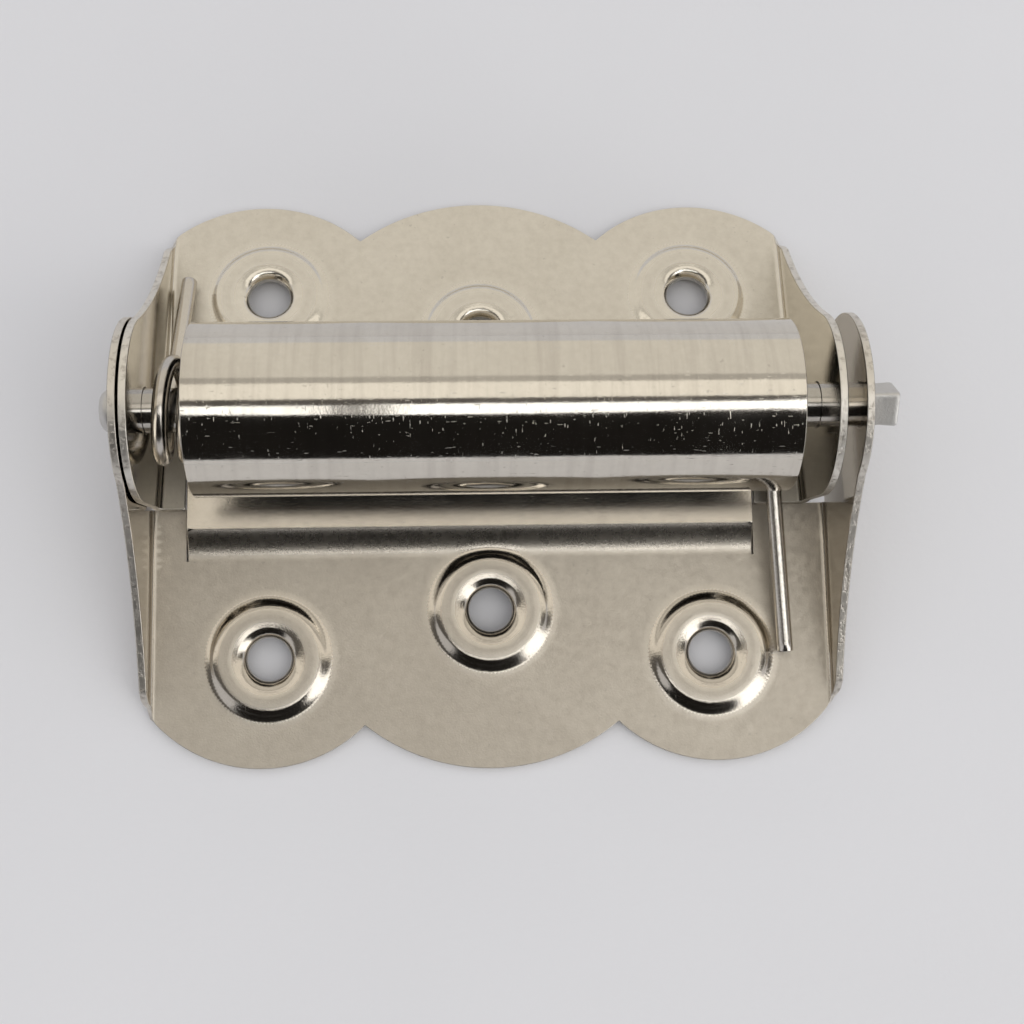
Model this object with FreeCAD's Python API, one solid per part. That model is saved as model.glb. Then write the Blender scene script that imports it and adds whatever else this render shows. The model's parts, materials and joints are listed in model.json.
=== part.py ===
import FreeCAD, Part
import math
import os

# Self-closing spring hinge: two stamped leaves, a spring cover, a coil spring and a pin.
#
# Units are millimetres. The origin is on the surface that the hinge lies on, at the middle of its
# footprint. +X runs along the pin, +Y towards the narrow leaf and +Z up. The hinge lies as its
# spring leaves it, with both outer edges down and the barrel raised. Shapes are first drawn with
# the pin axis along X through zero, then moved to that place.

Vector = FreeCAD.Vector
X_AXIS = Vector(1, 0, 0)
Z_AXIS = Vector(0, 0, 1)

# Sheet and pin
SHEET = 0.85                # thickness of every stamping
BEND_RADIUS = 0.6           # inside radius of the bends between a leaf and its ears
PIN_DIAMETER = 4.76
PIN_HEIGHT = 9.8            # pin axis above a leaf's upper face
PIN_RUNNING_GAP = 0.08      # radial clearance in the ears that turn on the pin
EAR_RADIUS = 9.8            # round end of every ear

# Wide leaf: its ears are the outer ones, and it carries the tongue and the spring cover
WIDE_LEAF_WIDTH = 76.9
WIDE_HOLE_SHIFT = -0.25     # middle of the screw holes from the middle of the leaf, along the pin
WIDE_HOLE_ROW = 25.9        # pin axis to the two outer screw holes, along the leaf
WIDE_NEAR_EDGE = 9.2        # pin axis to the edge of the leaf's side strips
WIDE_DROOP = 5.4            # degrees that this leaf slopes down from the barrel

# Narrow leaf: its ears fit inside the outer ones
END_GAP = 0.2               # between the left ears
NARROW_SHORTER_BY = 3.8     # the narrow leaf nests between the wide leaf's ears
NARROW_HOLE_ROW = 18.65
STRIP_REACH = 7.5           # how far its side strips run past the pin axis, under the barrel
MIDDLE_EDGE = 1.5           # near edge of the leaf between those strips

# Screw holes and the scalloped outer edge, the same on both leaves
HOLE_DIAMETER = 4.8
HOLE_SPACING = 48.9         # between the two outer holes
MIDDLE_HOLE_OFFSET = 5.1    # the middle hole is this much nearer the pin
EDGE_BEYOND_HOLES = 11.9    # outer lobes
MIDDLE_EDGE_BEYOND = 12.3   # middle lobe
LOBE_RADIUS = 16.0
LOBE_CENTRE = 25.1          # along the pin, from the middle hole
VALLEY = 13.97              # where the outer lobes meet the middle one

# Raised ring round each screw hole
RING_RADIUS = 7.0
RING_OUTER_SHOULDER = 5.9
RING_CREST = 4.75
RING_INNER_SHOULDER = 3.7
RING_HEIGHT = 0.75
SHOULDER_DROP = 0.12
FUNNEL_DEPTH = 0.35         # the hole's rim lies this far below the leaf's face
RING_WALL_SHIFT = 0.35      # sideways offset of the ring's under side

# Tongue of the wide leaf, stepped up to run under the spring
TONGUE_LEFT_INSET = 4.8     # insets are from the wide ears' outer faces
TONGUE_RIGHT_INSET = 9.2
TONGUE_SLIT = 0.3
RAMP_START = 15.0           # pin axis to the foot of the step
RAMP_RADIUS = 4.8
TONGUE_END = 1.5

# Spring cover, rolled round the spring
COVER_RADIUS = 9.25
COVER_LEFT_INSET = 7.0
COVER_RIGHT_INSET = 6.8
COVER_FRONT_ANGLE = 188.0   # free edge, degrees round the pin from +Y over +Z

# Spring
WIRE_DIAMETER = 1.75
COIL_RADIUS = 5.0           # to the middle of the wire
COIL_LEFT_GAP = 1.25        # from the narrow ear's inner face to the middle of the first wire
COIL_RIGHT_INSET = 7.8
COIL_TURNS = 26
LEG_GAP = 0.04              # between a leg's tip and the leaf it presses on
FRONT_LEG_REACH = 26.0
FRONT_LEG_DRIFT = 1.7       # the front leg runs outwards by this much
LEG_KNUCKLE = 0.06          # the wire swells this much where it is bent out of the coil
BACK_LEG_REACH = 20.3
BACK_LEG_DRIFT = 0.9

# Pin ends
PIN_LEFT_OVERHANG = 2.7     # past the wide ears' outer faces
PIN_RIGHT_OVERHANG = 4.9
PIN_DOME = 0.9
PIN_SHOULDER_GAP = 0.08     # between the right outer ear and the squeezed end
STUB_WIDTH = 3.55           # the right end is squeezed square
STUB_FLARE = 0.25           # and is this much wider at its tip
STUB_TURN = 38.0            # degrees that the square is turned about the pin

# Ear outlines, as angles round the pin and the place of the toe
WIDE_NECK_ANGLE = 249.5
WIDE_SWEEP_ANGLE = 30.0
WIDE_TOE = 31.0
WIDE_SWEEP_SAG = 1.4
NARROW_NECK_ANGLE = 193.6
NARROW_SWEEP_ANGLE = 38.0
NARROW_TOE = 25.4
NARROW_SWEEP_SAG = 1.1
TOE_HEIGHT = 1.8
TOE_SLOPE = 1.6

REACH = 60.0                # longer than any leaf, for the cutting prisms
ROUGH_MARGIN = 1.0          # of the uncut ears beyond their outline
FACE = -PIN_HEIGHT
UNDERSIDE = -PIN_HEIGHT - SHEET
BEND_TOP = FACE + BEND_RADIUS


def polar(radius, degrees):
    """Point (y, z) on a circle round the pin."""
    angle = math.radians(degrees)
    return radius * math.cos(angle), radius * math.sin(angle)


def resting_height(row, droop):
    """Height of the pin when a leaf slopes down by droop and its middle lobe touches the ground."""
    angle = math.radians(droop)
    return (PIN_HEIGHT + SHEET) * math.cos(angle) + (row + MIDDLE_EDGE_BEYOND) * math.sin(angle)


def droop_at_height(row, height):
    """Slope, in degrees, of a leaf whose middle lobe touches the ground with the pin at height."""
    drop = PIN_HEIGHT + SHEET
    reach = row + MIDDLE_EDGE_BEYOND
    return math.degrees(math.asin(height / math.hypot(drop, reach)) - math.atan2(drop, reach))


def resting_reach(row, droop):
    """Level distance from the pin to the far end of a sloping leaf's middle lobe."""
    angle = math.radians(droop)
    return (row + MIDDLE_EDGE_BEYOND) * math.cos(angle) - PIN_HEIGHT * math.sin(angle)


PIN_REST_HEIGHT = resting_height(WIDE_HOLE_ROW, WIDE_DROOP)
NARROW_DROOP = droop_at_height(NARROW_HOLE_ROW, PIN_REST_HEIGHT)
WIDE_LEFT = -WIDE_LEAF_WIDTH / 2 - WIDE_HOLE_SHIFT
WIDE_RIGHT = WIDE_LEFT + WIDE_LEAF_WIDTH
NARROW_LEFT = WIDE_LEFT + SHEET + END_GAP
NARROW_LEAF_WIDTH = WIDE_LEAF_WIDTH - NARROW_SHORTER_BY
TONGUE_LEFT = WIDE_LEFT + TONGUE_LEFT_INSET
TONGUE_RIGHT = WIDE_RIGHT - TONGUE_RIGHT_INSET
COVER_LEFT = WIDE_LEFT + COVER_LEFT_INSET
COVER_RIGHT = WIDE_RIGHT - COVER_RIGHT_INSET
COIL_RIGHT = WIDE_RIGHT - COIL_RIGHT_INSET
PIN_LEFT_END = WIDE_LEFT - PIN_LEFT_OVERHANG
PIN_RIGHT_END = WIDE_RIGHT + PIN_RIGHT_OVERHANG
COIL_LEFT = NARROW_LEFT + SHEET + COIL_LEFT_GAP
NARROW_HOLES = NARROW_LEFT + NARROW_LEAF_WIDTH / 2
WIDE_REACH = resting_reach(WIDE_HOLE_ROW, WIDE_DROOP)
NARROW_REACH = resting_reach(NARROW_HOLE_ROW, NARROW_DROOP)
PIN_PLACE = Vector(-(PIN_LEFT_END + PIN_RIGHT_END) / 2, (WIDE_REACH - NARROW_REACH) / 2, PIN_REST_HEIGHT)


def line(start, end):
    return Part.LineSegment(Vector(*start), Vector(*end)).toShape()


def arc(start, middle, end):
    return Part.Arc(Vector(*start), Vector(*middle), Vector(*end)).toShape()


def prism(edges, direction):
    """Solid made by moving the closed outline of edges along direction."""
    return Part.Face(Part.Wire(edges)).extrude(direction)


def placed(shape, droop=0.0):
    """Turn a shape about the pin by its leaf's slope and move it to the pin's place."""
    shape = shape.copy()
    shape.rotate(Vector(0, 0, 0), X_AXIS, droop)
    shape.translate(PIN_PLACE)
    return shape


def channel(left, right):
    """Bent strip: a flat leaf between two upright ears, running a long way in Y."""
    top = EAR_RADIUS + ROUGH_MARGIN
    bend = BEND_RADIUS + SHEET
    inner = BEND_RADIUS
    outer_k = bend * (1 - math.sqrt(0.5))
    inner_k = inner * (1 - math.sqrt(0.5))

    low = UNDERSIDE
    left_face = left + SHEET
    right_face = right - SHEET

    def at(x, z):
        return x, -REACH, z

    edges = [
        line(at(left, top), at(left, low + bend)),
        arc(at(left, low + bend), at(left + outer_k, low + outer_k), at(left + bend, low)),
        line(at(left + bend, low), at(right - bend, low)),
        arc(at(right - bend, low), at(right - outer_k, low + outer_k), at(right, low + bend)),
        line(at(right, low + bend), at(right, top)),
        line(at(right, top), at(right_face, top)),
        line(at(right_face, top), at(right_face, FACE + inner)),
        arc(at(right_face, FACE + inner), at(right_face - inner_k, FACE + inner_k), at(right - bend, FACE)),
        line(at(right - bend, FACE), at(left + bend, FACE)),
        arc(at(left + bend, FACE), at(left_face + inner_k, FACE + inner_k), at(left_face, FACE + inner)),
        line(at(left_face, FACE + inner), at(left_face, top)),
        line(at(left_face, top), at(left, top)),
    ]
    return prism(edges, Vector(0, 2 * REACH, 0))


def side_outline(side, near_edge, neck_angle, sweep_angle, toe, sag):
    """Outline of a leaf and its ears seen along the pin; side is -1 or +1, the way the leaf runs."""

    def at(reach, z):
        return -REACH, side * reach, z

    neck = polar(EAR_RADIUS, neck_angle)
    mid_angle = (neck_angle + sweep_angle) / 2
    crown = polar(EAR_RADIUS, mid_angle)
    shoulder = polar(EAR_RADIUS, sweep_angle)
    toe_top = (toe - TOE_SLOPE, FACE + TOE_HEIGHT)
    chord = (toe_top[0] - shoulder[0], toe_top[1] - shoulder[1])
    length = math.hypot(*chord)
    hollow = ((shoulder[0] + toe_top[0]) / 2 + sag * chord[1] / length,
              (shoulder[1] + toe_top[1]) / 2 - sag * chord[0] / length)
    edges = [
        line(at(near_edge, UNDERSIDE), at(near_edge, BEND_TOP)),
        line(at(near_edge, BEND_TOP), at(*neck)),
        arc(at(*neck), at(*crown), at(*shoulder)),
        arc(at(*shoulder), at(*hollow), at(*toe_top)),
        line(at(*toe_top), at(toe, FACE)),
        line(at(toe, FACE), at(REACH, FACE)),
        line(at(REACH, FACE), at(REACH, UNDERSIDE)),
        line(at(REACH, UNDERSIDE), at(near_edge, UNDERSIDE)),
    ]
    return prism(edges, Vector(2 * REACH, 0, 0))


def lobe_edge(row, offset):
    """Reach of the outer lobe's edge at this offset along the pin, level with its centre past its side."""
    across = min(abs(offset) - LOBE_CENTRE, LOBE_RADIUS)
    return row + EDGE_BEYOND_HOLES - LOBE_RADIUS + math.sqrt(LOBE_RADIUS ** 2 - across ** 2)


def plan_outline(side, left, right, holes, row):
    """Prism that trims a leaf to its scalloped outer edge; holes is where its middle hole is."""
    left_offset = left - holes
    right_offset = right - holes

    def at(offset, reach):
        return holes + offset, side * reach, -REACH

    valley = lobe_edge(row, VALLEY)
    lobe = row + EDGE_BEYOND_HOLES
    left_corner = at(left_offset, lobe_edge(row, left_offset))
    right_corner = at(right_offset, lobe_edge(row, right_offset))
    edges = [
        line(at(left_offset, -REACH), left_corner),
        arc(left_corner, at(-LOBE_CENTRE, lobe), at(-VALLEY, valley)),
        arc(at(-VALLEY, valley), at(0, row + MIDDLE_EDGE_BEYOND), at(VALLEY, valley)),
        arc(at(VALLEY, valley), at(LOBE_CENTRE, lobe), right_corner),
        line(right_corner, at(right_offset, -REACH)),
        line(at(right_offset, -REACH), at(left_offset, -REACH)),
    ]
    return prism(edges, Vector(0, 0, 2 * REACH))


def hole_centres(side, holes, row):
    return [
        Vector(holes - HOLE_SPACING / 2, side * row, FACE),
        Vector(holes, side * (row - MIDDLE_HOLE_OFFSET), FACE),
        Vector(holes + HOLE_SPACING / 2, side * row, FACE),
    ]


def raised_ring():
    """Pressed-up ring with a countersunk hole, standing on the leaf's face at z = 0."""
    hole = HOLE_DIAMETER / 2
    shoulder = RING_HEIGHT - SHOULDER_DROP
    under_crest = RING_HEIGHT - SHEET
    under_shoulder = shoulder - SHEET
    inner = RING_INNER_SHOULDER
    outer = RING_OUTER_SHOULDER
    inner_under = inner - RING_WALL_SHIFT / 2
    outer_under = outer - RING_WALL_SHIFT

    def at(radius, z):
        return radius, 0, z

    edges = [
        line(at(RING_RADIUS, 0), at(outer, shoulder)),
        arc(at(outer, shoulder), at(RING_CREST, RING_HEIGHT), at(inner, shoulder)),
        line(at(inner, shoulder), at(hole, -FUNNEL_DEPTH)),
        line(at(hole, -FUNNEL_DEPTH), at(hole, -SHEET)),
        line(at(hole, -SHEET), at(inner_under, under_shoulder)),
        arc(at(inner_under, under_shoulder), at((inner_under + outer_under) / 2, under_crest),
            at(outer_under, under_shoulder)),
        line(at(outer_under, under_shoulder), at(RING_RADIUS - RING_WALL_SHIFT, -SHEET)),
        line(at(RING_RADIUS - RING_WALL_SHIFT, -SHEET), at(RING_RADIUS, -SHEET)),
        line(at(RING_RADIUS, -SHEET), at(RING_RADIUS, 0)),
    ]
    return Part.Face(Part.Wire(edges)).revolve(Vector(0, 0, 0), Z_AXIS, 360)


def stamped_leaf(side, left, width, holes, row, outline, bore):
    """Leaf with two pierced ears, a scalloped edge and three raised screw holes."""
    right = left + width
    leaf = channel(left, right).common(outline)
    leaf = leaf.common(plan_outline(side, left, right, holes, row))
    leaf = leaf.cut(Part.makeCylinder(bore, 2 * REACH, Vector(-REACH, 0, 0), X_AXIS))
    for centre in hole_centres(side, holes, row):
        blank = Part.makeCylinder(RING_RADIUS, 2 * SHEET, centre - Vector(0, 0, 1.5 * SHEET))
        leaf = leaf.cut(blank)
        ring = raised_ring()
        ring.translate(centre)
        leaf = leaf.fuse(ring)
    return leaf


def tongue():
    """Step up from the wide leaf's face, then a flat run under the spring."""
    top = -COVER_RADIUS + SHEET
    bottom = -COVER_RADIUS
    under_radius = RAMP_RADIUS + SHEET

    def ramp(radius, z):
        y = -RAMP_START + math.sqrt(radius ** 2 - (FACE + RAMP_RADIUS - z) ** 2)
        return TONGUE_LEFT, y, z

    def at(y, z):
        return TONGUE_LEFT, y, z

    edges = [
        arc(at(-RAMP_START, FACE), ramp(RAMP_RADIUS, (FACE + top) / 2), ramp(RAMP_RADIUS, top)),
        line(ramp(RAMP_RADIUS, top), at(-TONGUE_END, top)),
        line(at(-TONGUE_END, top), at(-TONGUE_END, bottom)),
        line(at(-TONGUE_END, bottom), ramp(under_radius, bottom)),
        arc(ramp(under_radius, bottom), ramp(under_radius, (UNDERSIDE + bottom) / 2),
            at(-RAMP_START, UNDERSIDE)),
        line(at(-RAMP_START, UNDERSIDE), at(-RAMP_START, FACE)),
    ]
    return prism(edges, Vector(TONGUE_RIGHT - TONGUE_LEFT, 0, 0))


def wide_leaf():
    outline = side_outline(-1, WIDE_NEAR_EDGE, WIDE_NECK_ANGLE, WIDE_SWEEP_ANGLE, WIDE_TOE, WIDE_SWEEP_SAG)
    leaf = stamped_leaf(-1, WIDE_LEFT, WIDE_LEAF_WIDTH, 0, WIDE_HOLE_ROW, outline, PIN_DIAMETER / 2)
    window = Part.makeBox(TONGUE_RIGHT - TONGUE_LEFT + 2 * TONGUE_SLIT, RAMP_START, 3 * SHEET,
                          Vector(TONGUE_LEFT - TONGUE_SLIT, -RAMP_START, UNDERSIDE - SHEET))
    return placed(leaf.cut(window).fuse(tongue()).removeSplitter(), WIDE_DROOP)


def narrow_leaf():
    outline = side_outline(1, -STRIP_REACH, NARROW_NECK_ANGLE, NARROW_SWEEP_ANGLE, NARROW_TOE,
                           NARROW_SWEEP_SAG)
    leaf = stamped_leaf(1, NARROW_LEFT, NARROW_LEAF_WIDTH, NARROW_HOLES, NARROW_HOLE_ROW, outline,
                        PIN_DIAMETER / 2 + PIN_RUNNING_GAP)
    notch = Part.makeBox(TONGUE_RIGHT - TONGUE_LEFT + 2 * TONGUE_SLIT, REACH, 3 * SHEET,
                         Vector(TONGUE_LEFT - TONGUE_SLIT, MIDDLE_EDGE - REACH, UNDERSIDE - SHEET))
    return placed(leaf.cut(notch).removeSplitter(), -NARROW_DROOP)


def spring_cover():
    """Sheet rolled from its free front edge over the spring and down to the tongue's end."""
    inner = COVER_RADIUS - SHEET
    middle_angle = (COVER_FRONT_ANGLE - 90) / 2

    def at(y, z):
        return COVER_LEFT, y, z

    edges = [
        arc(at(*polar(COVER_RADIUS, COVER_FRONT_ANGLE)), at(*polar(COVER_RADIUS, middle_angle)),
            at(0, -COVER_RADIUS)),
        line(at(0, -COVER_RADIUS), at(-TONGUE_END, -COVER_RADIUS)),
        line(at(-TONGUE_END, -COVER_RADIUS), at(-TONGUE_END, -inner)),
        line(at(-TONGUE_END, -inner), at(0, -inner)),
        arc(at(0, -inner), at(*polar(inner, middle_angle)), at(*polar(inner, COVER_FRONT_ANGLE))),
        line(at(*polar(inner, COVER_FRONT_ANGLE)), at(*polar(COVER_RADIUS, COVER_FRONT_ANGLE))),
    ]
    return placed(prism(edges, Vector(COVER_RIGHT - COVER_LEFT, 0, 0)), WIDE_DROOP)


def leg(start, droop, side, reach, drift):
    """Straight wire from the bottom of the coil to a cut tip resting on a leaf."""
    wire = WIRE_DIAMETER / 2
    tip_y, tip_z = side * reach, FACE + wire + LEG_GAP
    angle = math.radians(droop)
    tip = Vector(start.x + drift, tip_y * math.cos(angle) - tip_z * math.sin(angle),
                 tip_y * math.sin(angle) + tip_z * math.cos(angle))
    run = tip - start
    knuckle = Part.makeSphere(wire + LEG_KNUCKLE, start)
    return Part.makeCylinder(wire, run.Length, start, run).fuse(knuckle)


def spring():
    """Coil round the pin, with one leg on each leaf."""
    length = COIL_RIGHT - COIL_LEFT
    path = Part.makeHelix(length / COIL_TURNS, length, COIL_RADIUS, 0, True)
    section = Part.Wire(Part.makeCircle(WIRE_DIAMETER / 2, Vector(COIL_RADIUS, 0, 0), Vector(0, 1, 0)))
    coil = Part.Wire(path.Edges).makePipeShell([section], True, True)
    coil.rotate(Vector(0, 0, 0), Vector(0, 1, 0), 90)
    coil.translate(Vector(COIL_LEFT, 0, 0))
    front = leg(Vector(COIL_RIGHT, 0, -COIL_RADIUS), WIDE_DROOP, -1, FRONT_LEG_REACH, FRONT_LEG_DRIFT)
    back = leg(Vector(COIL_LEFT, 0, -COIL_RADIUS), -NARROW_DROOP, 1, BACK_LEG_REACH, BACK_LEG_DRIFT)
    return placed(coil.fuse([front, back]))


def square_section(width, x):
    """Square outline across the pin at x."""
    reach = width / math.sqrt(2)
    corners = [Vector(x, *polar(reach, STUB_TURN + 45 + 90 * turn)) for turn in range(4)]
    return Part.makePolygon(corners + corners[:1])


def pin():
    """Round pin, domed at the left and squeezed square and flared at the right."""
    radius = PIN_DIAMETER / 2
    shank_left = PIN_LEFT_END + PIN_DOME
    shank_right = WIDE_RIGHT + PIN_SHOULDER_GAP
    shank = Part.makeCylinder(radius, shank_right - shank_left, Vector(shank_left, 0, 0), X_AXIS)
    dome = Part.makeCone(radius - PIN_DOME, radius, PIN_DOME, Vector(PIN_LEFT_END, 0, 0), X_AXIS)
    stub = Part.makeLoft([square_section(STUB_WIDTH, shank_right),
                          square_section(STUB_WIDTH + STUB_FLARE, PIN_RIGHT_END)], True, True)
    return placed(shank.fuse([dome, stub]).removeSplitter())


def write(name, shape):
    solids = shape.Solids
    if len(solids) != 1 or not shape.isValid():
        raise ValueError(name + " is not one sound solid")
    solids[0].exportStep("parts/" + name + ".step")
    box = solids[0].BoundBox
    print(f"{name}: volume {solids[0].Volume:.1f} mm3, x {box.XMin:.2f}..{box.XMax:.2f}, "
          f"y {box.YMin:.2f}..{box.YMax:.2f}, z {box.ZMin:.2f}..{box.ZMax:.2f}")


os.makedirs("parts", exist_ok=True)
write("wide_leaf", wide_leaf())
write("narrow_leaf", narrow_leaf())
write("spring_cover", spring_cover())
write("torsion_spring", spring())
write("hinge_pin", pin())
print(f"pin axis x {PIN_PLACE.x:.4f}, y {PIN_PLACE.y:.4f}, z {PIN_PLACE.z:.4f} mm, "
      f"narrow leaf slopes {NARROW_DROOP:.4f} degrees")
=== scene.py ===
import json
import math

import bpy
import numpy as np
from mathutils import Matrix, Vector, geometry


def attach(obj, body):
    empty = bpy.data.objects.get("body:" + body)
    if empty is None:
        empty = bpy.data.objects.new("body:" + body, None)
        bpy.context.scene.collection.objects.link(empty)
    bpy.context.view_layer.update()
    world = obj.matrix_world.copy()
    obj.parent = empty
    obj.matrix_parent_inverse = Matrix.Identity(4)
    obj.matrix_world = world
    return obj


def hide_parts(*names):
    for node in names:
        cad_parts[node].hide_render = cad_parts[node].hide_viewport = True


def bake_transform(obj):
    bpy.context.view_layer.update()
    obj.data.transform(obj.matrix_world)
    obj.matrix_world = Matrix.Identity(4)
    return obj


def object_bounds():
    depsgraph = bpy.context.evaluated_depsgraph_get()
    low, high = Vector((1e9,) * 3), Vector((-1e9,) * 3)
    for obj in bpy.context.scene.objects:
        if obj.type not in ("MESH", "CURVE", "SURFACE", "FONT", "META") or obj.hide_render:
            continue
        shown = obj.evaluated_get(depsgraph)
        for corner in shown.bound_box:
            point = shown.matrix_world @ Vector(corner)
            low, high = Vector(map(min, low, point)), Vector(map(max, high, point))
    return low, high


# A nickel-plated spring hinge. Shapes are worked out in millimetres round the pin axis, with y along
# the leaves and z up from each leaf. They are then tilted, moved to the pin's place and scaled to metres.
#
# s is the distance along the pin on the unfolded sheet, q the reach from the pin, and w the height in
# the sheet's thickness.

MM = 0.001

# Sheet and ears
SHEET = 0.85
HALF = SHEET / 2
BEND = 0.6                  # inside radius of the folds between a leaf and its ears
FOLD_RADIUS = BEND + HALF   # to the middle of the sheet
PIN_HEIGHT = 9.8
FACE = -PIN_HEIGHT
MIDDLE_Z = FACE - HALF
QUARTER_FOLD = FOLD_RADIUS * math.pi / 2
EAR_RADIUS = 9.8
TOE_HEIGHT = 1.8
TOE_SLOPE = 1.6
CUT_ROUNDING = 0.11

# The two leaves. side is which way a leaf reaches, and droop its turn about the pin in degrees.
# left and right are the outer faces of its ears. holes is the middle hole's place along the pin, and
# row the reach of the outer holes. near is the reach of the leaf's near edge beside an ear. The ear is
# round from neck to sweep, in degrees, and runs down to the toe with a sag. bore is its hole's radius.
WIDE = dict(side=-1, droop=5.4, left=-38.2, right=38.7, holes=0.0, row=25.9, near=9.2, neck=249.5,
            sweep=30.0, toe=31.0, sag=1.4, bore=2.38)
NARROW = dict(side=1, droop=-6.7183, left=-37.15, right=35.95, holes=-0.6, row=18.65, near=-7.5,
              neck=193.6, sweep=38.0, toe=25.4, sag=1.1, bore=2.46)

# Scalloped edge
LOBE_RADIUS = 16
LOBE_CENTRE = 25.1
LOBE_BEYOND_ROW = 11.9
MIDDLE_BEYOND_ROW = 12.3
VALLEY = 13.97

# Screw holes and the rings round them
HOLE_RADIUS = 2.4
HOLE_OFFSETS = ((-24.45, 0), (0, -5.1), (24.45, 0))
RING_REACH = 8.2            # nothing else of the mesh comes nearer to a hole
RING_TOP_POINTS = (
    (0, -0.6), (2.3, -0.45), (2.42, -0.22), (2.6, 0.03), (2.8, 0.25), (3.05, 0.42), (3.35, 0.54),
    (3.9, 0.64), (4.3, 0.68), (4.9, 0.68), (5.4, 0.655), (5.7, 0.61), (6.0, 0.5), (6.4, 0.215),
    (6.75, 0.08), (7.0, 0.035), (7.6, 0), (12, 0))
RING_UNDER_POINTS = ((0, -0.15), (2.4, 0.0), (3.3, 0.4), (4.5, 0.66), (5.1, 0.6), (6.4, 0), (12, 0))

# Tongue of the wide leaf, and the spring cover
TONGUE_LEFT, TONGUE_RIGHT = -33.4, 29.5
SLIT = 0.16
RAMP_START = 15.0
RAMP_RADIUS = 4.8
TONGUE_END = 1.5
COVER_RADIUS = 9.25
COVER_LEFT, COVER_RIGHT = -31.2, 31.9
COVER_FRONT = 188.0         # free edge, degrees round the pin

# Spring
WIRE_RADIUS = 0.875
WIRE_SIDES = 18
COIL_RADIUS = 5.0
COIL_LEFT, COIL_RIGHT = -35.05, 30.9
TURNS = 26
POINTS_A_TURN = 44
LEG_GAP = 0.04
FRONT_LEG_REACH, FRONT_LEG_DRIFT = 26.0, 1.7
BACK_LEG_REACH, BACK_LEG_DRIFT = 20.3, 0.9
KNUCKLE = 1.4               # length of a leg's rounded corner
KNUCKLE_ANGLE = 0.22        # radians of the coil's end turn that the corner takes
CUT_CHAMFER = ((0.0, 0.16), (0.06, 0.04), (0.14, 0.0))   # from the wire's end: how much thinner it is

# Pin
PIN_RADIUS = 2.38
PIN_SIDES = 96
PIN_LEFT = -40.9
SHOULDER = WIDE["right"] + 0.08
STUB_WIDTH = 3.55
STUB_TURN = 38
DOME = ((0, 1.35), (0.04, 1.55), (0.13, 1.75), (0.3, 1.98), (0.5, 2.16), (0.72, 2.3), (0.92, 2.37),
        (1.0, 2.38), (1.1, 2.38))
SQUARING = ((-0.1, 0.0), (0.0, 0.05), (0.12, 0.3), (0.3, 0.7), (0.5, 0.9), (0.7, 1.0))
FLARE = ((1.5, 3.58), (3.0, 3.66), (4.2, 3.8), (4.55, 3.82), (4.72, 3.72), (4.8, 3.5), (4.82, 3.3))

# Camera and light
FOCAL_PIXELS = 1475.53
FRAME_PIXELS = 1024
SENSOR = 36.0
TILT, YAW, ROLL = 0.2324, -0.03985, -0.02205
CAMERA_PLACE = (-6.035, -43.153, 164.495)
WHITE = (1.0, 0.995, 0.98, 1)
WARM = (1.0, 0.95, 0.86, 1)
GREY = (1.0, 0.93, 0.86, 1)
WORLD_COLOUR = (0.97, 0.97, 1.0, 1)
WORLD_STRENGTH = 0.72
FLOOR_SIZE = 3.0
FLOOR_GAP = 0.00005
NEAR_DOME, MIDDLE_DOME, FAR_DOME = 1.40, 1.45, 1.50

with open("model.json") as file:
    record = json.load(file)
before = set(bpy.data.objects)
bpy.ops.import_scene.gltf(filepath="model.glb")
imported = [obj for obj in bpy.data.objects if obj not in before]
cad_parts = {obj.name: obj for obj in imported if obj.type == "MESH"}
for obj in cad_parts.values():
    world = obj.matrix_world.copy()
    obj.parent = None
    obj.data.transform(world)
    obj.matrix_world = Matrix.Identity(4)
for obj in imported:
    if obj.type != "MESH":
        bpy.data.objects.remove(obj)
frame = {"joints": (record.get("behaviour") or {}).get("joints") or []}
CAD_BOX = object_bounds()
PIN = np.array(frame["joints"][0]["pos_m"]) / MM


def turn_x(points, degrees):
    a = math.radians(degrees)
    c, s = math.cos(a), math.sin(a)
    p = np.asarray(points, float)
    return np.stack([p[..., 0], c * p[..., 1] - s * p[..., 2], s * p[..., 1] + c * p[..., 2]], -1)


def unit(v):
    return v / np.maximum(np.linalg.norm(v, axis=-1, keepdims=True), 1e-12)


def polar(radius, degrees):
    a = math.radians(degrees)
    return radius * math.cos(a), radius * math.sin(a)


def circle(cx, cy, radius, count, turn=0.0):
    a = np.arange(count) * 2 * math.pi / count + turn
    return np.stack([cx + radius * np.cos(a), cy + radius * np.sin(a)], -1)


def grid_points(columns, rows):
    return np.stack(np.meshgrid(columns, rows), -1).reshape(-1, 2)


def solid(name, verts, faces, normals=None, layers=None):
    """Mesh object from points in millimetres."""
    mesh = bpy.data.meshes.new(name)
    mesh.from_pydata([tuple(p) for p in np.asarray(verts) * MM], [], faces)
    mesh.polygons.foreach_set("use_smooth", [True] * len(mesh.polygons))
    mesh.update()
    for key, values in (layers or {}).items():
        layer = mesh.attributes.new(key, "FLOAT", "POINT")
        layer.data.foreach_set("value", np.asarray(values, np.float32))
    if normals is not None:
        mesh.normals_split_custom_set_from_vertices([tuple(n) for n in normals])
    obj = bpy.data.objects.new(name, mesh)
    bpy.context.scene.collection.objects.link(obj)
    return obj


# ---------------------------------------------------------------- outlines on the unfolded sheet

def resample(points, step):
    """Points along an open polyline, about step apart, keeping its corners."""
    out = [np.array(points[0], float)]
    for a, b in zip(points[:-1], points[1:]):
        a, b = np.array(a, float), np.array(b, float)
        n = max(1, int(math.ceil(np.linalg.norm(b - a) / step)))
        out += [a + (b - a) * i / n for i in range(1, n + 1)]
    return out


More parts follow.
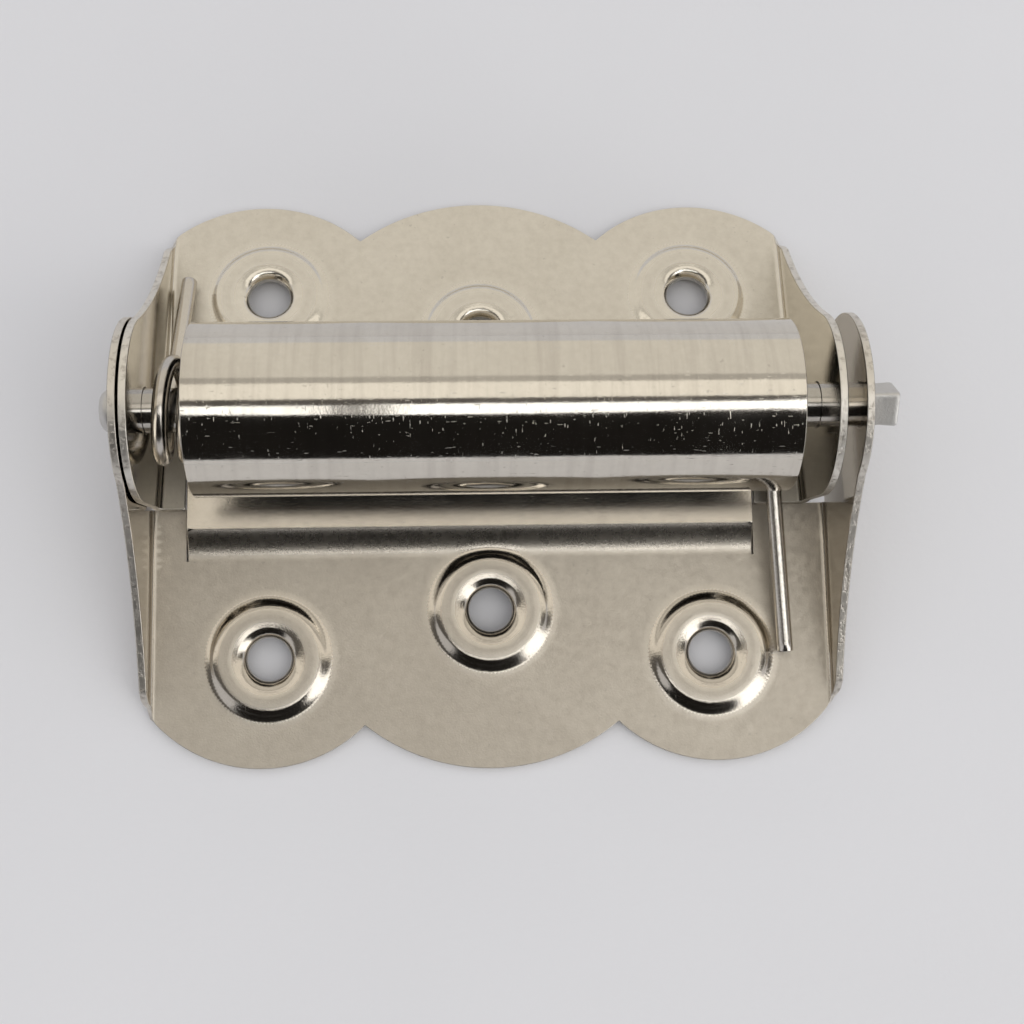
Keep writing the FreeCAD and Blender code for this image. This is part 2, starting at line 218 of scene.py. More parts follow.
def without_crowding(points, gap):
    """The points that are more than gap from the one kept before them."""
    keep = [0]
    for i in range(1, len(points)):
        if np.linalg.norm(points[i] - points[keep[-1]]) > gap:
            keep.append(i)
    return points[keep]


def loop_normals(loop):
    """Unit normals of a closed loop, pointing to its right as it is walked."""
    p = np.asarray(loop)
    d = np.roll(p, -1, 0) - np.roll(p, 1, 0)
    return unit(np.stack([d[:, 1], -d[:, 0]], -1))


def area(loop):
    p = np.asarray(loop)
    q = np.roll(p, -1, 0)
    return 0.5 * float(np.sum(p[:, 0] * q[:, 1] - q[:, 0] * p[:, 1]))


def inside(points, loops):
    """Even-odd test of points against closed loops."""
    hit = np.zeros(len(points), bool)
    x, y = points[:, 0][:, None], points[:, 1][:, None]
    for loop in loops:
        a = np.asarray(loop)
        b = np.roll(a, -1, 0)
        up = (a[:, 1][None] > y) != (b[:, 1][None] > y)
        run = np.where(np.abs(b[:, 1] - a[:, 1]) < 1e-12, 1e-12, b[:, 1] - a[:, 1])
        cross = (b[:, 0] - a[:, 0])[None] * (y - a[:, 1][None]) / run[None] + a[:, 0][None]
        hit ^= (np.sum(up & (x < cross), axis=1) % 2).astype(bool)
    return hit


def clearance(points, loops):
    """Distance from each point to the nearest loop, worked out a batch at a time."""
    batch = 2000
    best = np.full(len(points), 1e9)
    for loop in loops:
        a = np.asarray(loop)
        d = np.roll(a, -1, 0) - a
        for start in range(0, len(points), batch):
            p = points[start:start + batch]
            t = np.einsum("pij,ij->pi", p[:, None] - a[None], d) / np.maximum(np.sum(d * d, 1), 1e-12)
            near = a[None] + np.clip(t, 0, 1)[..., None] * d[None]
            gap = np.linalg.norm(p[:, None] - near, axis=-1).min(1)
            best[start:start + batch] = np.minimum(best[start:start + batch], gap)
    return best


# ---------------------------------------------------------------- sheet metal

def triangulate(rims, seeds):
    """Points, triangles, and where each rim point went, for the domain between closed rims."""
    seeds = seeds[inside(seeds, rims)]
    seeds = seeds[clearance(seeds, rims) > 2 * CUT_ROUNDING]
    edges, first = [], 0
    for rim in rims:
        n = len(rim)
        edges += [(first + i, first + (i + 1) % n) for i in range(n)]
        first += n
    wanted = [Vector(p) for p in np.concatenate(rims + [seeds])]
    result = geometry.delaunay_2d_cdt(wanted, edges, [], 0, 1e-6)
    points = np.array([tuple(v) for v in result[0]])
    index = {old: new for new, olds in enumerate(result[3]) for old in olds}
    triangles = np.array([tuple(f) for f in result[2]])
    return points, triangles[inside(points[triangles].mean(1), rims)], index


def slopes(at, p, w):
    """Steps on the surface for a small step along s and along q."""
    step = 0.02
    along = at(p[:, 0] + step, p[:, 1], w) - at(p[:, 0] - step, p[:, 1], w)
    across = at(p[:, 0], p[:, 1] + step, w) - at(p[:, 0], p[:, 1] - step, w)
    return along, across


def facing_out(verts, normals, faces):
    """Faces turned so that each agrees with the normals at its corners."""
    v = verts[np.array([f[:3] for f in faces])]
    facing = np.cross(v[:, 1] - v[:, 0], v[:, 2] - v[:, 0])
    mean = sum(normals[np.array([f[k] for f in faces])] for k in range(3))
    wrong = np.sum(facing * mean, 1) < 0
    return [f[::-1] if bad else f for f, bad in zip(faces, wrong)]


def surfaces(flat, at):
    """Points and normals of the upper side, then those of the under side."""
    up = at(flat[:, 0], flat[:, 1], HALF) - at(flat[:, 0], flat[:, 1], -HALF)
    verts, normals = [], []
    for w, sign in ((HALF, 1.0), (-HALF, -1.0)):
        n = unit(np.cross(*slopes(at, flat, w)))
        verts.append(at(flat[:, 0], flat[:, 1], w))
        normals.append(n * np.sign(np.sum(n * up, 1))[:, None] * sign)
    return verts, normals


def cut_wall(cut, outward, at):
    """Two rows of points along a cut edge, just inside the upper and the under side, with normals."""
    along, across = slopes(at, cut, 0.0)
    side = unit(unit(along) * outward[:, :1] + unit(across) * outward[:, 1:])
    return [at(cut[:, 0], cut[:, 1], w) for w in (HALF - CUT_ROUNDING, -HALF + CUT_ROUNDING)], [side, side]


def strips(rows):
    """Four-sided faces between neighbouring rows of point numbers, each row a closed loop."""
    n = len(rows[0])
    faces = []
    for upper, lower in zip(rows[:-1], rows[1:]):
        for i in range(n):
            j = (i + 1) % n
            faces.append((upper[i], lower[i], lower[j], upper[j]))
    return faces


def sheet_piece(name, outer, holes, seeds, at, place, polish, under_shade=0.0):
    """Solid sheet over a flat domain, with rounded cut edges. at(s, q, w) gives the point at height w,
    seeds are points wanted inside the domain, and under_shade is how strongly painted shade darkens the
    under side."""
    outer = outer if area(outer) > 0 else outer[::-1]
    holes = [h if area(h) < 0 else h[::-1] for h in holes]
    cuts = [np.asarray(loop, float) for loop in [outer] + holes]
    outward = [loop_normals(loop) for loop in cuts]
    rims = [loop - n * CUT_ROUNDING for loop, n in zip(cuts, outward)]
    flat, triangles, index = triangulate(rims, seeds)
    total = len(flat)

    verts, normals = surfaces(flat, at)
    faces = [tuple(int(i) for i in t) for t in triangles]
    faces += [tuple(int(i) + total for i in t) for t in triangles]
    base, first = 2 * total, 0
    for cut, out in zip(cuts, outward):
        n = len(cut)
        wall, facing = cut_wall(cut, out, at)
        verts += wall
        normals += facing
        ring = [index[first + i] for i in range(n)]
        faces += strips([ring, range(base, base + n), range(base + n, base + 2 * n),
                         [r + total for r in ring]])
        base += 2 * n
        first += n

    verts, normals = np.concatenate(verts), np.concatenate(normals)
    shine, cut_mark, painted_shade = np.zeros((3, len(verts)))
    shine[:total] = polish(flat[:, 0], flat[:, 1])
    shine[total:2 * total] = shine[:total]
    cut_mark[2 * total:] = 1
    # Painted shade on the under side, as strong as under_shade.
    painted_shade[total:2 * total] = under_shade
    return solid(name, place(verts), facing_out(verts, normals, faces),
                 unit(place(verts + normals * 0.01) - place(verts)),
                 {"polish": shine, "cut": cut_mark, "painted_shade": painted_shade})


def smooth_profile(points, width):
    """Interpolated height over radius, with its corners rounded over about width."""
    step, reach = 0.01, 12
    r = np.linspace(0, reach, int(reach / step) + 1)
    h = np.interp(r, [p[0] for p in points], [p[1] for p in points])
    n = int(width / step)
    kernel = np.hanning(n + 2)[1:-1]
    kernel /= kernel.sum()
    padded = np.concatenate([np.full(n, h[0]), h, np.full(n, h[-1])])
    return r, np.convolve(padded, kernel, "same")[n:-n]


RING_TOP = smooth_profile(RING_TOP_POINTS, 0.3)
RING_UNDER = smooth_profile(RING_UNDER_POINTS, 0.5)


def hole_places(leaf):
    return [(leaf["holes"] + dx, leaf["row"] + dy) for dx, dy in HOLE_OFFSETS]


def ring_height(x, y, leaf, under=False):
    total = np.zeros_like(x)
    for cx, cy in hole_places(leaf):
        total += np.interp(np.hypot(x - cx, y - cy), *(RING_UNDER if under else RING_TOP))
    return total


def tongue_height(x, q, under=False):
    """Step of the wide leaf's tongue: a hollow ramp up to a flat."""
    radius = RAMP_RADIUS + (SHEET if under else 0)
    rise = PIN_HEIGHT - COVER_RADIUS + SHEET
    run = np.clip(RAMP_START - q, 0, radius * 0.9)
    h = np.minimum(radius - np.sqrt(radius ** 2 - run ** 2), rise)
    return np.where((x > TONGUE_LEFT - 0.1) & (x < TONGUE_RIGHT + 0.1), h, 0)


def fold_lines(leaf):
    """Where the flat of the leaf ends at its left and right folds."""
    return leaf["left"] + BEND + SHEET, leaf["right"] - BEND - SHEET


def leaf_surface(leaf, tongue):
    """Function from the unfolded sheet to the folded and pressed leaf."""
    lo, hi = fold_lines(leaf)

    def at(s, q, w):
        over = np.where(s > hi, s - hi, np.where(s < lo, lo - s, 0))
        way = np.where(s > hi, 1.0, -1.0)
        angle = np.clip(over / FOLD_RADIUS, 0, math.pi / 2)
        x = np.clip(s, lo, hi) + way * (FOLD_RADIUS - w) * np.sin(angle)
        z = MIDDLE_Z + FOLD_RADIUS - (FOLD_RADIUS - w) * np.cos(angle) + np.maximum(over - QUARTER_FOLD, 0)
        under = w <= 0
        h = ring_height(np.clip(s, lo, hi), q, leaf, under)
        if tongue:
            h = h + tongue_height(s, q, under)
        return np.stack([x, leaf["side"] * q, z + np.where(over <= 0, h, 0)], -1)

    return at


def unfolded(z):
    """Unfolded distance past the start of the fold at height z."""
    z = np.asarray(z, float)
    bent = np.arccos(np.clip(1 - (z - MIDDLE_Z) / FOLD_RADIUS, -1, 1)) * FOLD_RADIUS
    return np.where(z > MIDDLE_Z + FOLD_RADIUS, QUARTER_FOLD + z - MIDDLE_Z - FOLD_RADIUS, bent)


def ear_outline(leaf):
    """Reach and height of the ear's edge, from the leaf's near edge round to its toe."""
    round_steps, sag_steps = 90, 40
    start, end = leaf["neck"], leaf["sweep"]
    points = [(leaf["near"], FACE + BEND)]
    points += [polar(EAR_RADIUS, start + (end - start) * i / round_steps) for i in range(round_steps + 1)]
    shoulder = np.array(points[-1])
    chord = np.array([leaf["toe"] - TOE_SLOPE, FACE + TOE_HEIGHT]) - shoulder
    normal = np.array([chord[1], -chord[0]]) / np.linalg.norm(chord)
    for i in range(1, sag_steps + 1):
        t = i / sag_steps
        points.append(tuple(shoulder + chord * t + normal * leaf["sag"] * 4 * t * (1 - t)))
    points.append((leaf["toe"], FACE - 0.1))
    return points


def lobe_reach(leaf, offset):
    across = abs(offset) - LOBE_CENTRE
    return leaf["row"] + LOBE_BEYOND_ROW - LOBE_RADIUS + math.sqrt(LOBE_RADIUS ** 2 - across ** 2)


def scallop_reach(leaf, offset):
    """Reach of the scalloped edge at this offset from the middle hole."""
    if abs(offset) > VALLEY:
        return lobe_reach(leaf, offset)
    top = leaf["row"] + MIDDLE_BEYOND_ROW
    depth = top - lobe_reach(leaf, VALLEY)
    radius = (VALLEY ** 2 + depth ** 2) / (2 * depth)
    return top - radius + math.sqrt(radius ** 2 - offset ** 2)


def scalloped_edge(leaf):
    lo, hi = fold_lines(leaf)
    inset, steps = 0.95, 320
    edge = []
    for x in np.linspace(leaf["left"] + inset, leaf["right"] - inset, steps):
        over = max(x - hi, lo - x, 0)
        s = x
        if over > 0:
            fold = hi if x > 0 else lo
            s = fold + math.copysign(FOLD_RADIUS * math.asin(min(1, over / FOLD_RADIUS)), x)
        edge.append((s, scallop_reach(leaf, x - leaf["holes"])))
    return edge


def leaf_outline(leaf, tongue):
    """Closed outline: left ear, scalloped edge, right ear, then the edge round the tongue or notch."""
    lo, hi = fold_lines(leaf)
    ear = ear_outline(leaf)
    reach = np.array([p[0] for p in ear])
    rise = unfolded([p[1] for p in ear])
    left = list(zip(lo - rise, reach))
    right = list(zip(hi + rise, reach))[::-1]
    near = leaf["near"]
    a, b = TONGUE_LEFT, TONGUE_RIGHT
    if tongue:
        inner = [(b + SLIT, near), (b + SLIT, RAMP_START), (b, RAMP_START), (b, TONGUE_END),
                 (a, TONGUE_END), (a, RAMP_START), (a - SLIT, RAMP_START), (a - SLIT, near)]
    else:
        inner = [(b + SLIT, near), (b + SLIT, TONGUE_END), (a - SLIT, TONGUE_END), (a - SLIT, near)]
    outline = left + scalloped_edge(leaf) + right + inner
    outline = np.array(resample(outline + outline[:1], 0.45)[:-1])
    return without_crowding(outline, 0.05)


def leaf_holes(leaf):
    lo, hi = fold_lines(leaf)
    bore = unfolded(0.0)
    screws = [circle(cx, cy, HOLE_RADIUS, 96) for cx, cy in hole_places(leaf)]
    return screws + [circle(x, 0, leaf["bore"], 72) for x in (lo - bore, hi + bore)]


def leaf_seeds(leaf, tongue):
    """Mesh points: a plain grid, close columns across the folds, close rows up the ramp, and circles
    round the screw holes."""
    lo, hi = fold_lines(leaf)
    fold = np.arange(0, 11) * FOLD_RADIUS * math.pi / 20
    ear = np.arange(fold[-1] + 0.8, fold[-1] + 20, 1.1)
    columns = np.concatenate([lo - fold, lo - ear, hi + fold, hi + ear, np.arange(lo + 0.9, hi - 0.5, 1.15)])
    field = grid_points(columns, np.arange(-10, 39, 0.97))
    if tongue:
        rows = np.concatenate([np.arange(11.05, 15.5, 0.2), [11.57, 11.66]])
        on_ramp = (field[:, 1] > 10.9) & (field[:, 1] < 15.6) & (np.abs(field[:, 0]) < 34.5)
        field = np.concatenate([field[~on_ramp], grid_points(np.arange(-37, 37, 0.9), rows)])
    rings, count = [], 108
    for cx, cy in hole_places(leaf):
        field = field[np.hypot(field[:, 0] - cx, field[:, 1] - cy) > RING_REACH]
        for k, radius in enumerate(np.concatenate([np.arange(2.75, 7.7, 0.19), [7.95]])):
            rings.append(circle(cx, cy, radius, count, math.pi / count * (k % 2)))
    return np.concatenate([field] + rings)


def leaf_polish(leaf, tongue):
    """How burnished the sheet is: pressed slopes partly, folds and ears fully."""
    lo, hi = fold_lines(leaf)
    e = 0.05

    def polish(s, q):
        x = np.clip(s, lo, hi)
        hx = ring_height(x + e, q, leaf) - ring_height(x - e, q, leaf)
        hy = ring_height(x, q + e, leaf) - ring_height(x, q - e, leaf)
        shine = np.clip(np.hypot(hx, hy) / (2 * e) * 5.0, 0, 0.82)
        if tongue:
            steep = np.abs(tongue_height(s, q + e) - tongue_height(s, q - e)) / (2 * e)
            shine = np.maximum(shine, np.clip(steep * 4.0, 0, 0.57))
            shine = np.maximum(shine, 0.72 * (steep < 0.05) * (tongue_height(s, q) > 1.0))
        over = np.maximum(np.maximum(s - hi, lo - s), 0)
        return np.maximum(shine, np.clip(over / 0.9, 0, 1))

    return polish


def placed_with(leaf):
    """Function that tilts points with a leaf and moves them to the pin's place."""
    return lambda points: turn_x(points, leaf["droop"]) + PIN


def leaf_piece(name, leaf, tongue):
    return sheet_piece(name, leaf_outline(leaf, tongue), leaf_holes(leaf), leaf_seeds(leaf, tongue),
                       leaf_surface(leaf, tongue), placed_with(leaf), leaf_polish(leaf, tongue))


def cover_piece():
    """Rolled sheet: from the free front edge over the top and back to the tongue's end."""
    radius = COVER_RADIUS - HALF
    bent = radius * math.radians(COVER_FRONT + 90)
    length = bent + TONGUE_END

    def at(x, u, w):
        a = math.radians(COVER_FRONT) - np.clip(u, -1, bent) / radius
        r = radius + w
        y = r * np.cos(a) - np.maximum(u - bent, 0)
        return np.stack([x, y, r * np.sin(a)], -1)

    x0, x1 = COVER_LEFT, COVER_RIGHT
    outline = resample([(x0, 0), (x1, 0), (x1, length), (x0, length), (x0, 0)], 0.5)[:-1]
    seeds = grid_points(np.arange(x0 + 0.9, x1 - 0.5, 1.6), np.arange(0.4, length, 0.36))
    # The inside of the cover is painted nearly black as painted shade.
    return sheet_piece("spring_barrel", outline, [], seeds, at, placed_with(WIDE),
                       lambda s, q: np.ones_like(s), under_shade=1.0)


# ---------------------------------------------------------------- round pieces

def loft(name, rings, layers=None):
    """Closed tube through rings of equal size, with flat caps."""
    count = len(rings[0])
    verts = np.concatenate(rings + [rings[0].mean(0)[None], rings[-1].mean(0)[None]])
    faces = []
    for r in range(len(rings) - 1):
        for i in range(count):
            j = (i + 1) % count
            faces.append((r * count + i, r * count + j, (r + 1) * count + j, (r + 1) * count + i))
    head, tail = len(verts) - 2, len(verts) - 1
    last = (len(rings) - 1) * count
    for i in range(count):
        j = (i + 1) % count
        faces.append((head, j, i))
        faces.append((tail, last + i, last + j))
    a, b, c = (verts[np.array([f[k] for f in faces])] for k in range(3))
    if np.sum(a * np.cross(b, c)) < 0:
        faces = [f[::-1] for f in faces]
    return solid(name, verts, faces, None, layers)


def pin_ring(x, radius, square=0.0, width=STUB_WIDTH):
    """Section of the pin, from round (square = 0) to square with rounded corners (square = 1)."""
    a = np.arange(PIN_SIDES) * 2 * math.pi / PIN_SIDES
    turned = a - math.radians(STUB_TURN)
    power = 2 + 10 * square
    box = width / 2 / (np.abs(np.cos(turned)) ** power + np.abs(np.sin(turned)) ** power) ** (1 / power)
    rho = radius * (1 - square) + box * square
    return np.stack([np.full(PIN_SIDES, x), rho * np.cos(a), rho * np.sin(a)], -1) + PIN


def pin_piece():
    """Shank with a domed left end and a squeezed, turned and flared square right end."""
    rings = [pin_ring(PIN_LEFT + x, radius) for x, radius in DOME]
    rings += [pin_ring(x, PIN_RADIUS) for x in np.linspace(PIN_LEFT + 3, SHOULDER - 0.3, 24)]
    rings += [pin_ring(SHOULDER + x, PIN_RADIUS, square) for x, square in SQUARING]
    rings += [pin_ring(SHOULDER + x, PIN_RADIUS, 1.0, width) for x, width in FLARE]
    shine = []
    for ring in rings:
        x = ring[0, 0] - PIN[0]
        shine += [1.0 if PIN_LEFT + 1 < x < SHOULDER + 0.1 else 0.0] * PIN_SIDES
    return loft("pin_body", rings, {"polish": np.array(shine + [0.0, 0.0])})


def straight(a, b, n):
    return a + (b - a) * np.linspace(0, 1, n)[:, None]


def rounded(a, corner, b):
    """Points between a and b on a curve that rounds the corner."""
    t = np.linspace(0, 1, 9)[1:-1, None]
    return (1 - t) ** 2 * a + 2 * t * (1 - t) * corner + t * t * b


def leg_tip(leaf, reach, x):
    return turn_x(np.array([x, leaf["side"] * reach, FACE + WIRE_RADIUS + LEG_GAP]), leaf["droop"])


def spring_path():
    """Centre line of the wire: back leg, coil, front leg."""
    front = leg_tip(WIDE, FRONT_LEG_REACH, COIL_RIGHT + FRONT_LEG_DRIFT)
    back = leg_tip(NARROW, BACK_LEG_REACH, COIL_LEFT + BACK_LEG_DRIFT)
    whole = TURNS * 2 * math.pi
    phi = np.linspace(KNUCKLE_ANGLE, whole - KNUCKLE_ANGLE, TURNS * POINTS_A_TURN)
    x = COIL_LEFT + (COIL_RIGHT - COIL_LEFT) * phi / whole
    coil = np.stack([x, -COIL_RADIUS * np.sin(phi), -COIL_RADIUS * np.cos(phi)], -1)
    left = np.array([COIL_LEFT, 0, -COIL_RADIUS])
    right = np.array([COIL_RIGHT, 0, -COIL_RADIUS])
    left_out = left + unit(back - left) * KNUCKLE
    right_out = right + unit(front - right) * KNUCKLE
    return np.concatenate([straight(back, left_out, 24), rounded(left_out, left, coil[0]), coil,
                           rounded(coil[-1], right, right_out), straight(right_out, front, 28)])


def spring_piece():
    """Round wire along its path, with chamfered cut ends; the turns inside the cover are marked for painted
    shade, which paints them nearly black.
    """
    path = spring_path()
    d = unit(np.gradient(path, axis=0))
    normal = unit(np.cross(d[0], [1.0, 0.0, 0.0]))
    angles = np.arange(WIRE_SIDES) * 2 * math.pi / WIRE_SIDES
    last = len(path) - 1
    rings = []
    for i, p in enumerate(path):
        normal = unit(normal - d[i] * np.dot(normal, d[i]))
        side = np.cross(d[i], normal)
        section = np.cos(angles)[:, None] * normal + np.sin(angles)[:, None] * side
        if i == 0:
            rings += [p + d[i] * along + (WIRE_RADIUS - thinner) * section for along, thinner in CUT_CHAMFER]
        elif i == last:
            rings += [p - d[i] * along + (WIRE_RADIUS - thinner) * section
                      for along, thinner in reversed(CUT_CHAMFER)]
        else:
            rings.append(p + WIRE_RADIUS * section)
    # Painted shade: the turns inside the cover are marked to be painted nearly black, fading in over a
    # millimetre from just inside its ends.
    centre = np.repeat([r.mean(0)[0] for r in rings], WIRE_SIDES)
    depth = np.minimum(centre - COVER_LEFT - 0.5, COVER_RIGHT - 2.2 - centre)
    painted_shade = np.concatenate([np.clip(depth, 0, 1), [0, 0]])
    return loft("spring_wire", [r + PIN for r in rings], {"painted_shade": painted_shade})


# ---------------------------------------------------------------- materials

class Nodes:
    """A material with a Principled shader, and short ways to add and link nodes."""

    def __init__(self, name):
        self.material = bpy.data.materials.new(name)
        self.material.use_nodes = True
        self.tree = self.material.node_tree
        self.tree.nodes.clear()
        out = self.tree.nodes.new("ShaderNodeOutputMaterial")
        self.shader = self.tree.nodes.new("ShaderNodeBsdfPrincipled")
        self.tree.links.new(self.shader.outputs[0], out.inputs[0])

    def add(self, kind, inputs=None, **settings):
        node = self.tree.nodes.new("ShaderNode" + kind)
        for key, value in settings.items():
            setattr(node, key, value)
        for key, value in (inputs or {}).items():
            self.put(node.inputs[key], value)
        return node

    def put(self, socket, value):
        if isinstance(value, bpy.types.NodeSocket):
            self.tree.links.new(value, socket)
        else:
            socket.default_value = value

    def math(self, operation, a, b):
        return self.add("Math", {0: a, 1: b}, operation=operation).outputs[0]

    def times(self, a, b):
        return self.math("MULTIPLY", a, b)

    def plus(self, a, b):
        return self.math("ADD", a, b)

    def blend(self, factor, a, b):
        """Mix of two numbers."""
        return self.add("Mix", {0: factor, 2: a, 3: b}, data_type="FLOAT").outputs[0]

    def tint(self, factor, a, b):
        """Mix of two colours."""
        return self.add("Mix", {0: factor, 6: a, 7: b}, data_type="RGBA").outputs[2]

    def noise(self, size, detail=3.0, rough=0.55, scale=(1, 1, 1), rotation=(0, 0, 0)):
        source = self.add("TexCoord").outputs["Object"]
        place = self.add("Mapping", {"Vector": source, "Scale": scale, "Rotation": rotation}).outputs[0]
        inputs = {"Vector": place, "Scale": size, "Detail": detail, "Roughness": rough}
        return self.add("TexNoise", inputs).outputs[0]

    def ramp(self, value, low, high, a=0.0, b=1.0):
        return self.add("MapRange", {0: value, 1: low, 2: high, 3: a, 4: b}).outputs[0]

    def layer(self, name):
        return self.add("Attribute", attribute_name=name).outputs["Fac"]


def nickel(name, light, dark, satin, mirror, grain, scratch, smears=0.0):
    """Plated steel. satin and mirror are the roughness where polish is 0 and 1; the cut edges are
    torn, and what is marked painted_shade is painted nearly black as shade."""
    m = Nodes(name)
    polish, cut, painted_shade = m.layer("polish"), m.layer("cut"), m.layer("painted_shade")
    cloud = m.noise(90.0, 4.0)
    fine = m.noise(4200.0, 3.0, 0.6)
    mottle = m.noise(1100.0, 4.0, 0.65)
    one = m.ramp(m.noise(1100.0, 2.0, 0.4, (7, 1, 1), (0.0, 0.5, 0.6)), 0.70, 0.78)
    other = m.ramp(m.noise(900.0, 2.0, 0.4, (1, 7, 7), (0.3, -0.4, 0.5)), 0.71, 0.79)
    scratches = m.math("MAXIMUM", one, other)
    streaks = m.ramp(m.noise(60.0, 3.0, scale=(16, 1, 1)), 0.45, 0.75)
    specks = m.ramp(m.noise(1300.0, 2.0), 0.70, 0.76)
    torn = m.ramp(m.noise(1100.0, 4.0, 0.7), 0.34, 0.5)

    colour = m.tint(m.ramp(cloud, 0.3, 0.7), dark, light)
    colour = m.tint(m.times(m.ramp(mottle, 0.35, 0.65), 0.10), colour, (0.40, 0.36, 0.31, 1))
    colour = m.tint(m.times(streaks, smears), colour, (0.42, 0.38, 0.34, 1))
    colour = m.tint(m.times(specks, 0.25), colour, (0.3, 0.28, 0.25, 1))
    worn = m.tint(torn, (0.30, 0.27, 0.24, 1), (0.80, 0.77, 0.72, 1))
    colour = m.tint(m.times(cut, 0.5), colour, worn)
    # Painted shade: whatever is marked painted_shade is painted nearly black.
    colour = m.tint(m.times(painted_shade, 0.93), colour, (0.035, 0.03, 0.028, 1))

    flat = m.ramp(mottle, 0.3, 0.7, satin - 0.06, satin + 0.06)
    shiny = m.ramp(m.noise(240.0, 3.0), 0.3, 0.7, mirror * 0.7, mirror * 1.4)
    rough = m.plus(m.blend(polish, flat, shiny), m.times(scratches, 0.06))
    rough = m.blend(cut, rough, 0.38)

    height = m.plus(m.times(fine, m.blend(polish, grain, grain * 0.15)), m.times(scratches, -scratch))
    height = m.plus(height, m.times(m.times(torn, cut), 1.2))
    height = m.plus(height, m.times(cloud, 0.8))
    bump = m.add("Bump", {"Height": height, "Distance": 0.00003, "Strength": 1.0})
    m.put(m.shader.inputs["Base Color"], colour)
    m.put(m.shader.inputs["Roughness"], rough)
    m.put(m.shader.inputs["Normal"], bump.outputs[0])
    m.shader.inputs["Metallic"].default_value = 1.0
    return m.material


def paper():
    m = Nodes("paper")
    tone = m.ramp(m.noise(14.0), 0.3, 0.7)
    m.put(m.shader.inputs["Base Color"], m.tint(tone, (0.80, 0.795, 0.80, 1), (0.83, 0.825, 0.83, 1)))
    bump = m.add("Bump", {"Height": m.noise(900.0, 4.0), "Distance": 0.00004})
    m.put(m.shader.inputs["Normal"], bump.outputs[0])
    m.shader.inputs["Roughness"].default_value = 0.9
    return m.material


def glow(name, colour, strength):
    material = bpy.data.materials.new(name)
    material.use_nodes = True
    tree = material.node_tree
    tree.nodes.clear()
    light = tree.nodes.new("ShaderNodeEmission")
    light.inputs[0].default_value = colour
    light.inputs[1].default_value = strength
    out = tree.nodes.new("ShaderNodeOutputMaterial")
    tree.links.new(light.outputs[0], out.inputs[0])
    return material


# ---------------------------------------------------------------- the hinge

def dress(obj, material, body, slot, *nodes):
    obj.data.materials.append(material)
    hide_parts(*nodes)
    if body:
        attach(obj, body)


def build_hinge():
    leaf = nickel("leaf_nickel", (0.60, 0.555, 0.485, 1), (0.545, 0.50, 0.435, 1), 0.54, 0.07, 0.9, 0.12)
    # Same nickel as the wide leaf, painted lighter on the narrow leaf as painted light.
    leaf_painted_lighter = nickel("leaf_nickel_painted_lighter", (0.75, 0.71, 0.635, 1), (0.70, 0.66, 0.585, 1),
                        0.54, 0.07, 0.9, 0.12)
    cover = nickel("cover_nickel", (0.72, 0.68, 0.61, 1), (0.68, 0.64, 0.57, 1), 0.2, 0.085, 0.6, 0.3, 0.3)
    wire = nickel("spring_nickel", (0.66, 0.62, 0.56, 1), (0.54, 0.51, 0.47, 1), 0.2, 0.2, 0.4, 0.1)
    steel = nickel("pin_steel", (0.66, 0.65, 0.63, 1), (0.56, 0.55, 0.54, 1), 0.5, 0.14, 0.9, 0.1)

    wide = leaf_piece("wide_leaf_plate", WIDE, True)
    dress(wide, leaf, "wide_leaf", "leaf_nickel", "wide_leaf")
    narrow = leaf_piece("narrow_leaf_plate", NARROW, False)
    dress(narrow, leaf_painted_lighter, "narrow_leaf", "leaf_nickel", "narrow_leaf")
    barrel = cover_piece()
    dress(barrel, cover, "wide_leaf", "cover_nickel", "spring_cover")
    pin = pin_piece()
    dress(pin, steel, "wide_leaf", "pin_steel", "hinge_pin")
    coil = spring_piece()
    dress(coil, wire, None, "spring_nickel", "torsion_spring")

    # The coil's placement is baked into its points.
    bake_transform(coil)


# ---------------------------------------------------------------- stage and camera

def stage_mesh(name, verts, faces, material):
    """Object that isn't part of the hinge."""
    mesh = bpy.data.meshes.new(name)
    mesh.from_pydata(verts, [], faces)
    mesh.materials.append(material)
    obj = bpy.data.objects.new(name, mesh)
    bpy.context.scene.collection.objects.link(obj)
    return obj


def build_floor():
    size = FLOOR_SIZE
    corners = [(-size, -size, 0), (size, -size, 0), (size, size, 0), (-size, size, 0)]
    obj = stage_mesh("floor", corners, [(0, 1, 2, 3)], paper())
    obj.location.z = float(CAD_BOX[0].z) - FLOOR_GAP


def round_the_pin(r, t):
    """Direction at angle r from straight up towards the front, and t along the pin."""
    return math.sin(t), -math.sin(r) * math.cos(t), math.cos(r) * math.cos(t)


def round_the_zenith(r, t):
    """Direction at angle r from straight up, and t round from the front."""
    return math.sin(r) * math.sin(t), -math.sin(r) * math.cos(t), math.cos(r)


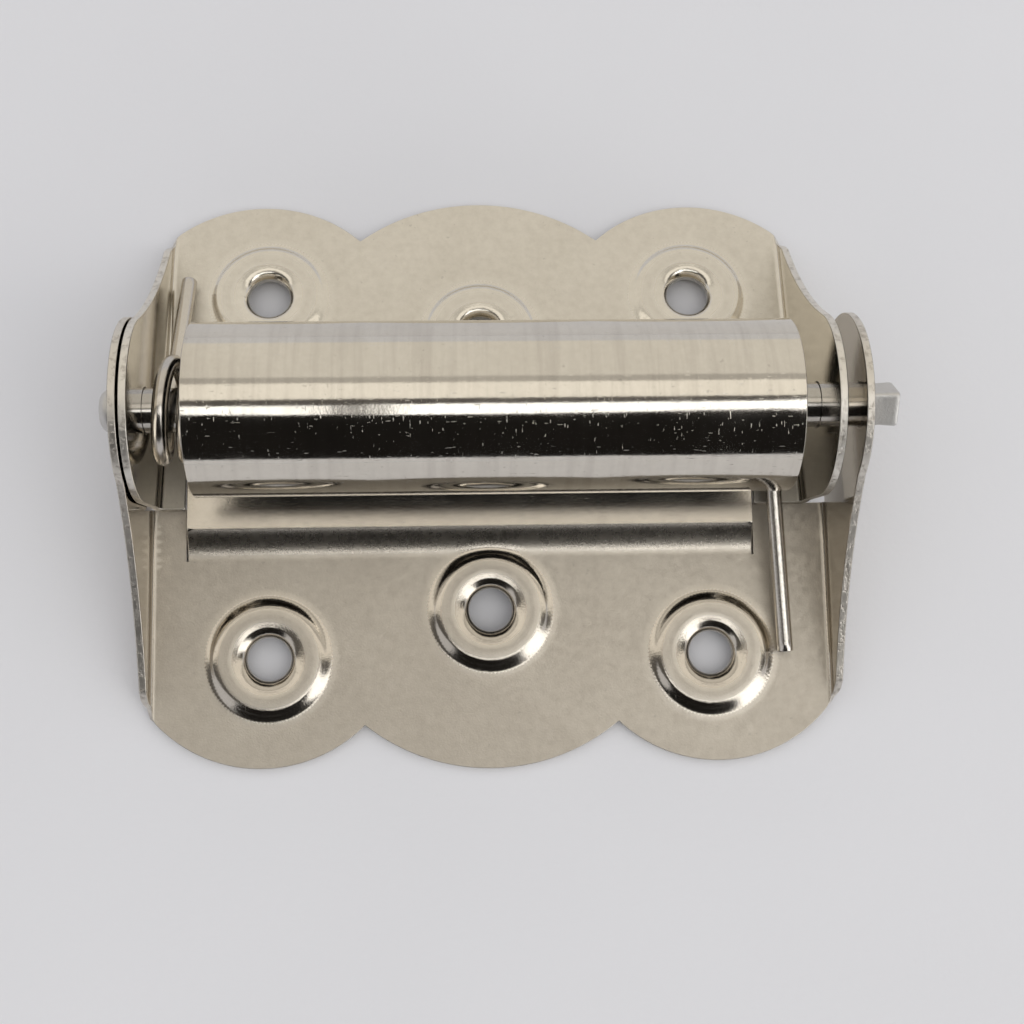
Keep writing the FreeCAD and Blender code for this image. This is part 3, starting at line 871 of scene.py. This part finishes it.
def card(name, way, rows, turns, radius, colour, strength, diffuse=False):
    """Piece of a large dome round the hinge that glows evenly and that no camera sees. Unless
    diffuse is set it lights only reflections."""
    n = 12
    steps = range(n + 1)
    verts = []
    for i in steps:
        for j in steps:
            r = math.radians(rows[0] + (rows[1] - rows[0]) * i / n)
            t = math.radians(turns[0] + (turns[1] - turns[0]) * j / n)
            verts.append(tuple(radius * c for c in way(r, t)))
    corners = [i * (n + 1) + j for i in range(n) for j in range(n)]
    faces = [(k, k + 1, k + n + 2, k + n + 1) for k in corners]
    obj = stage_mesh(name, verts, faces, glow(name, colour, strength))
    obj.visible_camera = False
    obj.visible_diffuse = diffuse


def build_room():
    wide = (-70, 70)
    card("ceiling", round_the_pin, (-16, 4.5), wide, FAR_DOME, WARM, 1.12)
    card("beam", round_the_pin, (4.5, 30), wide, FAR_DOME, GREY, 0.12)
    card("lamp_left", round_the_pin, (12.5, 24), (-14, -5.2), MIDDLE_DOME, WHITE, 1.9)
    card("lamp_right", round_the_pin, (11.5, 25), (-2.8, 18), MIDDLE_DOME, WHITE, 2.0)
    card("back_wall", round_the_pin, (-24, -16), wide, FAR_DOME, WARM, 0.55)
    card("upper_wall", round_the_pin, (-78, -24), wide, FAR_DOME, WARM, 0.82)
    card("dark_figure", round_the_zenith, (25, 84), (-42, 34), NEAR_DOME, GREY, 0.012)
    card("window", round_the_zenith, (18, 90), (38, 68), MIDDLE_DOME, WHITE, 2.3, True)


def build_world(scene):
    world = bpy.data.worlds.new("studio")
    world.use_nodes = True
    background = world.node_tree.nodes["Background"]
    background.inputs[0].default_value = WORLD_COLOUR
    background.inputs[1].default_value = WORLD_STRENGTH
    scene.world = world
    scene.view_settings.view_transform = "Standard"


def build_camera(scene):
    data = bpy.data.cameras.new("camera")
    data.sensor_width = SENSOR
    data.lens = FOCAL_PIXELS / FRAME_PIXELS * SENSOR
    data.clip_start = 0.005
    data.clip_end = 20.0
    camera = bpy.data.objects.new("camera", data)
    scene.collection.objects.link(camera)
    turn = Matrix.Rotation(ROLL, 4, "Z") @ Matrix.Rotation(YAW, 4, "Y") @ Matrix.Rotation(TILT, 4, "X")
    camera.matrix_world = Matrix.Translation(Vector(CAMERA_PLACE) * MM) @ turn
    scene.camera = camera


build_hinge()
build_floor()
build_room()
build_world(bpy.context.scene)
build_camera(bpy.context.scene)

bpy.context.view_layer.update()
